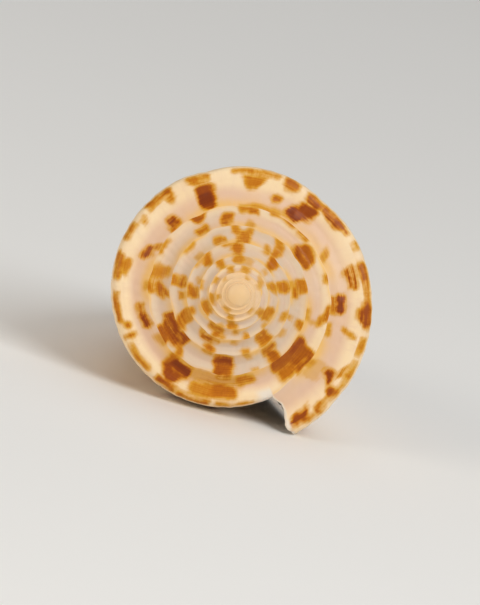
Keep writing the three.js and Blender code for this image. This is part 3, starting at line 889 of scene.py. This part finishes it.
def shell_patches(coil):
    """All sheets of the shell: ramps, side, hollow, lip, base and nucleus, sharing their edges."""
    patches = Patches()
    even = np.linspace(0, 1, RAMP_ROWS + 1)
    across = mix(even, (1 - np.cos(math.pi * even)) / 2, RAMP_BUNCHING)
    down = np.linspace(0, 1, SIDE_ROWS + 1)
    whorls = coil.form.whorls
    outer = np.arange(OUTER_COLUMNS * OUTER_TURNS + 1) / OUTER_COLUMNS
    inner = OUTER_TURNS + np.arange(INNER_COLUMNS * (whorls - OUTER_TURNS) + 1) / INNER_COLUMNS

    outer_points, outer_marks = ramp_grid(coil, outer, across)
    patches.add(outer_points, outer_marks)
    inner_points, inner_marks = ramp_grid(coil, inner, across)
    inner_index = patches.add(inner_points[:, :-1], inner_marks[:, :-1])
    edge_columns = OUTER_TURNS + np.arange(OUTER_COLUMNS + 1) / OUTER_COLUMNS
    edge_points, edge_marks = ramp_grid(coil, edge_columns, across[-1:])
    edge = patches.store(edge_points, edge_marks)
    patches.bridge(edge, inner_index[:INNER_COLUMNS + 1, -1], flip=True)
    rest_index = patches.store(inner_points[INNER_COLUMNS:, -1], inner_marks[INNER_COLUMNS:, -1])
    last = inner_index[INNER_COLUMNS:, -1]
    patches.tie(np.stack([last[:-1], last[1:], rest_index[1:]], 1))
    patches.tie(np.stack([last[:-1], rest_index[1:], rest_index[:-1]], 1))

    side_columns = np.arange(OUTER_COLUMNS + 1) / OUTER_COLUMNS
    side_points, side_marks = side_grid(coil, side_columns, down)
    patches.add(side_points, side_marks)

    hollow = np.arange(round(HOLLOW_COLUMNS * coil.HOLLOW_TURNS) + 1) / HOLLOW_COLUMNS
    back, low = np.meshgrid(hollow, down, indexing="ij")
    core = coil.place(*coil.hollow_core(back, low), back + 1)
    patches.add(core, inside_marks(back, 1 + low))
    wall = coil.place(*coil.hollow_wall(back, low), back, coil.lip_shift(1, low))
    patches.add(wall, inside_marks(back, 1 + low), flip=True)
    back, over = np.meshgrid(hollow, across, indexing="ij")
    roof = coil.place(*coil.hollow_roof(back, over), back, coil.lip_shift(over, 0))
    patches.add(roof, inside_marks(back, over), flip=True)

    lip_edge(patches, coil, outer_points[0], roof[0], outer_marks[0])
    lip_end = lip_edge(patches, coil, side_points[0], wall[0], side_marks[0])[:, -1]
    patches.tie(np.stack([lip_end[:-2], lip_end[1:-1], np.repeat(lip_end[-1], LIP_ROWS - 1)], 1), flip=True)

    base_sheet(patches, coil, side_points[:, -1], side_marks[:, -1])

    dome_columns = whorls + np.arange(INNER_COLUMNS + 1) / INNER_COLUMNS
    rim_r, rim_h = coil.suture(np.array(float(whorls)))
    back, row = np.meshgrid(dome_columns, np.linspace(0, 1, DOME_ROWS + 1), indexing="ij")
    dome = coil.place(rim_r * row, rim_h + coil.NUCLEUS_RISE * (1 - row ** 2), back)
    none = 0 * back
    patches.add(dome, outside_marks(back, row, none - BLOTCH_LIMIT, none))
    return patches


def at_rest(points, form):
    """Turns points from the shell's own frame to the shared one: about the axis, then laid down."""
    turn = Matrix.Rotation(math.pi / 2 - form.axis_dip, 3, "X") @ Matrix.Rotation(form.lip_turn, 3, "Z")
    return points @ np.array(turn).T


def shell_mesh(form):
    """The welded shell as a mesh: its box sits over the CAD box, and its marks are on the corners."""
    patches = shell_patches(Coil(form))
    points, triangles, marks = patches.weld()
    points = at_rest(points, form) + rest_place(patches, form)
    mesh = bpy.data.meshes.new("shell")
    mesh.vertices.add(len(points))
    mesh.loops.add(triangles.size)
    mesh.polygons.add(len(triangles))
    mesh.vertices.foreach_set("co", points.ravel())
    mesh.loops.foreach_set("vertex_index", triangles.ravel())
    mesh.polygons.foreach_set("loop_start", np.arange(0, triangles.size, 3))
    mesh.polygons.foreach_set("use_smooth", np.ones(len(triangles), dtype=bool))
    mesh.update(calc_edges=True)
    flat = marks.reshape(-1, len(MARKS))
    growth = mesh.uv_layers.new(name="growth")
    growth.data.foreach_set("uv", flat[:, :2].ravel())
    for name in MARKS[2:]:
        values = flat[:, MARKS.index(name)]
        if name == "pigment":
            values = values / BLOTCH_LIMIT
        mesh.attributes.new(name, "FLOAT", "CORNER").data.foreach_set("value", values)
    mesh.validate()
    return mesh


def rest_place(patches, form):
    """Where the shell's own origin lies at rest: its box is centred over the CAD box and on its floor."""
    points = at_rest(np.concatenate(patches.points), form)
    low, high = np.array(CAD_BOX[0]), np.array(CAD_BOX[1])
    offset = (low + high - points.min(0) - points.max(0)) / 2
    offset[2] = low[2] - points.min(0)[2]
    return offset


def node(tree, kind, inputs=None, **settings):
    """Adds a shader node. Inputs that are sockets are linked, and the others are set."""
    made = tree.nodes.new(kind)
    for name, value in settings.items():
        setattr(made, name, value)
    for key, value in (inputs or {}).items():
        if isinstance(value, bpy.types.NodeSocket):
            tree.links.new(value, made.inputs[key])
        else:
            made.inputs[key].default_value = value
    return made


def mark(tree, name):
    """The value of one of the mesh's marks."""
    return node(tree, "ShaderNodeAttribute", attribute_name=name).outputs["Fac"]


def product(tree, first, second):
    """The product of two values."""
    return node(tree, "ShaderNodeMath", {0: first, 1: second}, operation="MULTIPLY").outputs[0]


def sums(tree, first, values, shares, middle=0.5):
    """A value plus shares of others, each less its middle: first + share * (value - middle) for each."""
    total = first
    for value, share in zip(values, shares):
        offset = -share * middle
        scaled = node(tree, "ShaderNodeMath", {0: value, 1: share, 2: offset}, operation="MULTIPLY_ADD")
        total = node(tree, "ShaderNodeMath", {0: total, 1: scaled.outputs[0]}, operation="ADD").outputs[0]
    return total


def between(tree, value, low, high, start, end):
    """Maps low to high onto start to end, with a smooth start and end."""
    ends = {"From Min": low, "From Max": high, "To Min": start, "To Max": end}
    made = node(tree, "ShaderNodeMapRange", {"Value": value, **ends}, interpolation_type="SMOOTHSTEP")
    return made.outputs["Result"]


def tint(tree, share, first, second):
    """Mixes two colours by a share. Sockets 6 and 7 take the colours, and output 2 gives their mix."""
    made = node(tree, "ShaderNodeMix", {"Factor": share, 6: first, 7: second}, data_type="RGBA")
    return made.outputs[2]


def grain(tree, vector, scale, detail, roughness):
    """Noise stretched along the axes of a vector: scale gives the waves along each."""
    scaled = node(tree, "ShaderNodeMapping", {"Vector": vector, "Scale": scale}).outputs["Vector"]
    looks = {"Vector": scaled, "Scale": 1.0, "Detail": detail, "Roughness": roughness}
    return node(tree, "ShaderNodeTexNoise", looks).outputs["Fac"]


def shell_finish(look):
    """Glazed shell: stained ground with a cream shoulder that is partly a painted highlight along the crest,
    blotches of pigment with ragged edges and an ochre halo, growth lines and spiral threads."""
    material = bpy.data.materials.new("shell")
    material.use_nodes = True
    tree = material.node_tree
    shader = tree.nodes["Principled BSDF"]
    growth = node(tree, "ShaderNodeUVMap", uv_map="growth").outputs["UV"]
    place = node(tree, "ShaderNodeTexCoord").outputs["Object"]
    lines, streaks, threads = (grain(tree, growth, *noise) for noise in (LINES, STREAKS, THREADS))
    rags, frays, clouds = (grain(tree, place, *noise) for noise in (RAGS, FRAYS, CLOUDS))
    bare = mark(tree, "bare")

    # Cream towards the shoulder over the pink ground: partly the shell's colours, partly a painted highlight
    # along the crest and painted shade in the channel.
    ground = tint(tree, mark(tree, "cream"), look.ground, look.cream)
    ground = tint(tree, mark(tree, "chalk"), ground, look.chalk)
    stain = sums(tree, mark(tree, "honey"), [clouds], [STAIN_CLOUDS])
    ground = tint(tree, between(tree, stain, *STAIN_MAP), ground, look.honey)
    streak = sums(tree, streaks, [lines], [STREAK_LINES])
    ground = tint(tree, between(tree, streak, *STREAK_MAP), ground, look.ground)

    edge = sums(tree, mark(tree, "pigment"), (rags, frays, threads, lines), EDGE_SHARES)
    tone = product(tree, mark(tree, "tone"), between(tree, edge, *HEART_MAP))
    tone = sums(tree, tone, (threads, lines, clouds), TONE_SHARES)
    ramp = node(tree, "ShaderNodeValToRGB", {"Fac": tone})
    stops = ramp.color_ramp.elements
    stops[0].position, stops[0].color = TONE_STOPS[0], look.ochre
    stops[1].position, stops[1].color = TONE_STOPS[3], look.plum
    stops.new(TONE_STOPS[1]).color = look.amber
    stops.new(TONE_STOPS[2]).color = look.chestnut

    weight = between(tree, mark(tree, "tone"), *WEIGHT_MAP)
    halo = product(tree, between(tree, edge, *HALO_MAP), weight)
    cover = product(tree, between(tree, edge, *COVER_MAP), weight)
    paint = tint(tree, cover, tint(tree, halo, ground, look.ochre), ramp.outputs["Color"])
    paint = tint(tree, bare, paint, look.bare)
    tree.links.new(paint, shader.inputs["Base Color"])

    gloss = sums(tree, GLOSS, (clouds, bare), GLOSS_SHARES, middle=0)
    tree.links.new(gloss, shader.inputs["Roughness"])
    height = sums(tree, lines, [threads], [HEIGHT_THREADS], middle=0)
    bump = node(tree, "ShaderNodeBump", {"Height": height, "Strength": 0.35, "Distance": 0.06 * MM})
    tree.links.new(bump.outputs["Normal"], shader.inputs["Normal"])
    shader.inputs["Specular IOR Level"].default_value = 0.1
    shader.inputs["Subsurface Weight"].default_value = 0.02
    shader.inputs["Subsurface Radius"].default_value = (1.0, 0.6, 0.4)
    shader.inputs["Subsurface Scale"].default_value = 0.8 * MM
    shader.inputs["Coat Weight"].default_value = 0.06
    shader.inputs["Coat Roughness"].default_value = 0.16
    return material


def floor_finish(look):
    """Plain pale matt floor with a faint mottle."""
    material = bpy.data.materials.new("floor")
    material.use_nodes = True
    tree = material.node_tree
    shader = tree.nodes["Principled BSDF"]
    place = node(tree, "ShaderNodeTexCoord").outputs["Object"]
    clouds = between(tree, grain(tree, place, *FLOOR_CLOUDS), *FLOOR_MAP)
    darker = [channel * FLOOR_DARKER for channel in look.floor[:3]] + [1.0]
    tree.links.new(tint(tree, clouds, look.floor, darker), shader.inputs["Base Color"])
    shader.inputs["Roughness"].default_value = 0.8
    return material


class MESH_OT_cone_shell(bpy.types.Operator):
    """Build the shell and its finish in place of the CAD shell"""

    bl_idname = "mesh.cone_shell"
    bl_label = "Cone shell"

    def execute(self, context):
        scene = context.scene
        piece = bpy.data.objects.new("cone_shell", shell_mesh(scene.shell_form))
        scene.collection.objects.link(piece)
        piece.data.materials.append(shell_finish(scene.shell_finish))
        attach(piece, "root")
        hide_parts("shell")
        return {"FINISHED"}


def view_turn(form):
    """The camera's turn: looking at the apex, tilted off the axis, with the lip at its place in view."""
    tilted = Matrix.Rotation(-VIEW_TILT, 3, "Y")
    about_axis = Matrix.Rotation(form.lip_turn - LIP_IN_VIEW, 3, "Z")
    laid_down = Matrix.Rotation(math.pi / 2 - form.axis_dip, 3, "X")
    return laid_down @ about_axis @ tilted


def add_camera(scene, form):
    """A long lens whose frame has the photograph's scale at the apex, and the apex at its pixel."""
    turn = view_turn(form)
    origin = rest_place(shell_patches(Coil(form)), form)
    apex = Vector(at_rest(np.array([0, 0, form.length]), form) + origin)
    right = (IMAGE_PIXELS[0] / 2 - APEX_PIXEL[0]) * PIXEL_SIZE
    up = (APEX_PIXEL[1] - IMAGE_PIXELS[1] / 2) * PIXEL_SIZE
    data = bpy.data.cameras.new("camera")
    data.sensor_width = SENSOR
    data.lens = SENSOR * CAMERA_DISTANCE / (IMAGE_PIXELS[1] * PIXEL_SIZE)
    camera = bpy.data.objects.new("camera", data)
    aim = apex + turn @ Vector((right, up, 0))
    camera.matrix_world = Matrix.Translation(aim + turn @ Vector((0, 0, CAMERA_DISTANCE))) @ turn.to_4x4()
    scene.collection.objects.link(camera)
    scene.camera = camera
    return aim


def add_softbox(scene, name, aim, place, distance, size, power, tone=(1, 1, 1)):
    """A square area light at a distance from the aim, facing it."""
    data = bpy.data.lights.new(name, "AREA")
    data.size = size
    data.energy = power
    data.color = tone
    lamp = bpy.data.objects.new(name, data)
    away = Vector(place).normalized()
    facing = away.to_track_quat("Z", "Y").to_matrix().to_4x4()
    lamp.matrix_world = Matrix.Translation(aim + away * distance) @ facing
    scene.collection.objects.link(lamp)


class SCENE_OT_cone_shell_stage(bpy.types.Operator):
    """Build the floor, the lights and the camera"""

    bl_idname = "scene.cone_shell_stage"
    bl_label = "Studio stage"

    def execute(self, context):
        scene = context.scene
        look = scene.shell_stage
        aim = add_camera(scene, scene.shell_form)
        turn = view_turn(scene.shell_form)
        right, up, near = SIDE_LAMP_PLACE
        side = (SIDE_LAMP_DISTANCE, SIDE_LAMP_SIZE)
        left_place, right_place = turn @ Vector((-right, up, near)), turn @ Vector((right, up, near))
        add_softbox(scene, "left", aim, left_place, *side, look.left_power, look.left_tone)
        add_softbox(scene, "right", aim, right_place, *side, look.right_power)
        add_softbox(scene, "top", aim, TOP_LAMP_PLACE, TOP_LAMP_DISTANCE, TOP_LAMP_SIZE, look.top_power)

        half = look.floor_size / 2
        corners = np.array([[-half, -half, 0], [half, -half, 0], [half, half, 0], [-half, half, 0]])
        mesh = bpy.data.meshes.new("floor")
        mesh.from_pydata((corners + [0, 0, CAD_BOX[0][2]]).tolist(), [], [(0, 1, 2, 3)])
        floor = bpy.data.objects.new("floor", mesh)
        floor.data.materials.append(floor_finish(look))
        scene.collection.objects.link(floor)

        world = bpy.data.worlds.new("air")
        world.use_nodes = True
        background = world.node_tree.nodes["Background"]
        background.inputs["Color"].default_value = (1, 1, 1, 1)
        background.inputs["Strength"].default_value = look.air
        scene.world = world
        scene.view_settings.view_transform = "Standard"
        return {"FINISHED"}


class VIEW3D_PT_cone_shell(bpy.types.Panel):
    """Lists the shell's sizes and colours and the two operators"""

    bl_label = "Cone shell"
    bl_space_type = "VIEW_3D"
    bl_region_type = "UI"
    bl_category = "Cone shell"

    def draw(self, context):
        for group in (context.scene.shell_form, context.scene.shell_finish, context.scene.shell_stage):
            for name in type(group).__annotations__:
                self.layout.prop(group, name)
        self.layout.operator(MESH_OT_cone_shell.bl_idname)
        self.layout.operator(SCENE_OT_cone_shell_stage.bl_idname)


CLASSES = (
    ShellForm, ShellFinish, StageLook, MESH_OT_cone_shell, SCENE_OT_cone_shell_stage, VIEW3D_PT_cone_shell)


def register():
    """Registers the classes and hangs the property groups on the scene."""
    for entry in CLASSES:
        bpy.utils.register_class(entry)
    bpy.types.Scene.shell_form = bpy.props.PointerProperty(type=ShellForm)
    bpy.types.Scene.shell_finish = bpy.props.PointerProperty(type=ShellFinish)
    bpy.types.Scene.shell_stage = bpy.props.PointerProperty(type=StageLook)


def unregister():
    """Takes the property groups and classes away again."""
    del bpy.types.Scene.shell_stage
    del bpy.types.Scene.shell_finish
    del bpy.types.Scene.shell_form
    for entry in reversed(CLASSES):
        bpy.utils.unregister_class(entry)


def main():
    register()
    bpy.ops.mesh.cone_shell()
    bpy.ops.scene.cone_shell_stage()


if __name__ == "__main__":
    main()
